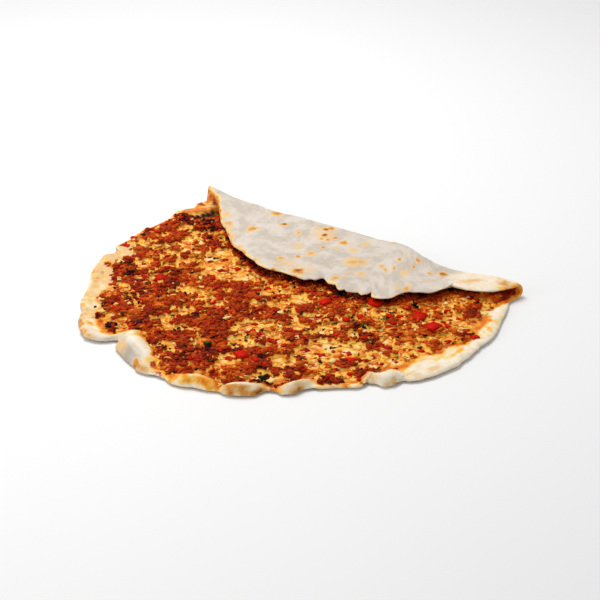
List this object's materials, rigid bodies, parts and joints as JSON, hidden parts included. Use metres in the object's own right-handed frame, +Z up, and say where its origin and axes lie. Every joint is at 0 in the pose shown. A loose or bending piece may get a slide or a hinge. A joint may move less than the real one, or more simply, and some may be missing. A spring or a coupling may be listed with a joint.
{
  "type": "lahmacun",
  "caption": "Thin round flatbread under an oily minced topping, its rim turned up in places and one side folded back over the top.",
  "frame": {"origin": "middle of the plan on the surface that the bread lies on", "axes": "+X along the longer side of the plan, +Y towards the folded side, +Z up through the thin bread"},
  "size_m": [0.2976, 0.277, 0.0188],
  "materials": {
    "dough": "dry baked dough, pale and floury below, toasted spots, orange oil along the inner rim",
    "mince_topping": "moist oily minced meat with red pepper, herb flecks and darker roasted grains"
  },
  "bodies": {
    "root": {"dough": "dough", "mince_topping": "mince_topping"}
  },
  "joints": []
}
